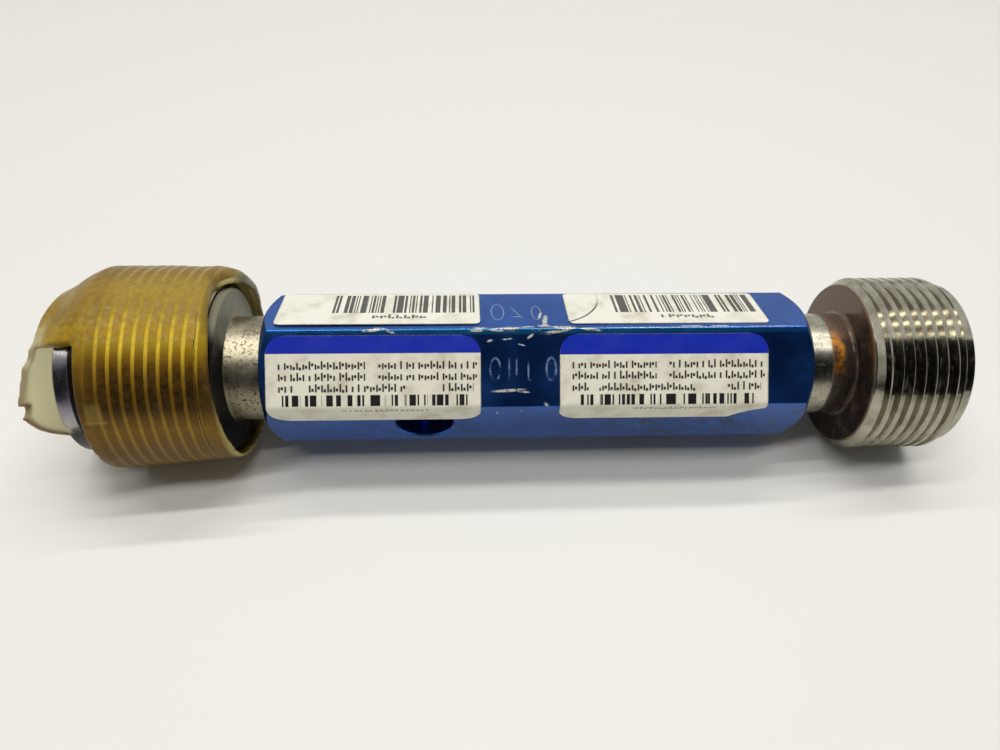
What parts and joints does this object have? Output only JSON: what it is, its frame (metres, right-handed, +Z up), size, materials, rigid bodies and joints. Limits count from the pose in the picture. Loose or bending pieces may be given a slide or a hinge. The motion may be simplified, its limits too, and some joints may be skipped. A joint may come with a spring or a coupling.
{
  "type": "thread plug gauge",
  "caption": "Double-ended thread plug gauge: hexagonal blue handle, bright threaded NO-GO end, GO end still in a torn amber dip coat, four worn labels.",
  "frame": {"origin": "centre of the bounding box's bottom face, on the surface that the gauge lies on", "axes": "+X along the gauge from the GO end to the NO-GO end, +Z up, -Y towards the flat with the calibration labels, which faces up and forward at 45 degrees"},
  "size_m": [0.175, 0.04, 0.0395],
  "materials": {
    "blue_anodised_aluminium": "bright-dipped and blue anodised, scratched on the corners",
    "gauge_steel": "hardened, ground and oiled tool steel with rust stains by the necks",
    "amber_dip_plastic": "translucent amber strippable dip coating, cut and torn",
    "calibration_label": "white polyester label with a blue header band, dirty",
    "barcode_label": "white polyester label with black bars, scuffed"
  },
  "bodies": {
    "root": {"handle": "blue_anodised_aluminium", "go_member": "gauge_steel", "nogo_member": "gauge_steel", "dip_coat": "amber_dip_plastic", "go_calibration_label": "calibration_label", "nogo_calibration_label": "calibration_label", "go_barcode_label": "barcode_label", "nogo_barcode_label": "barcode_label"}
  },
  "joints": []
}
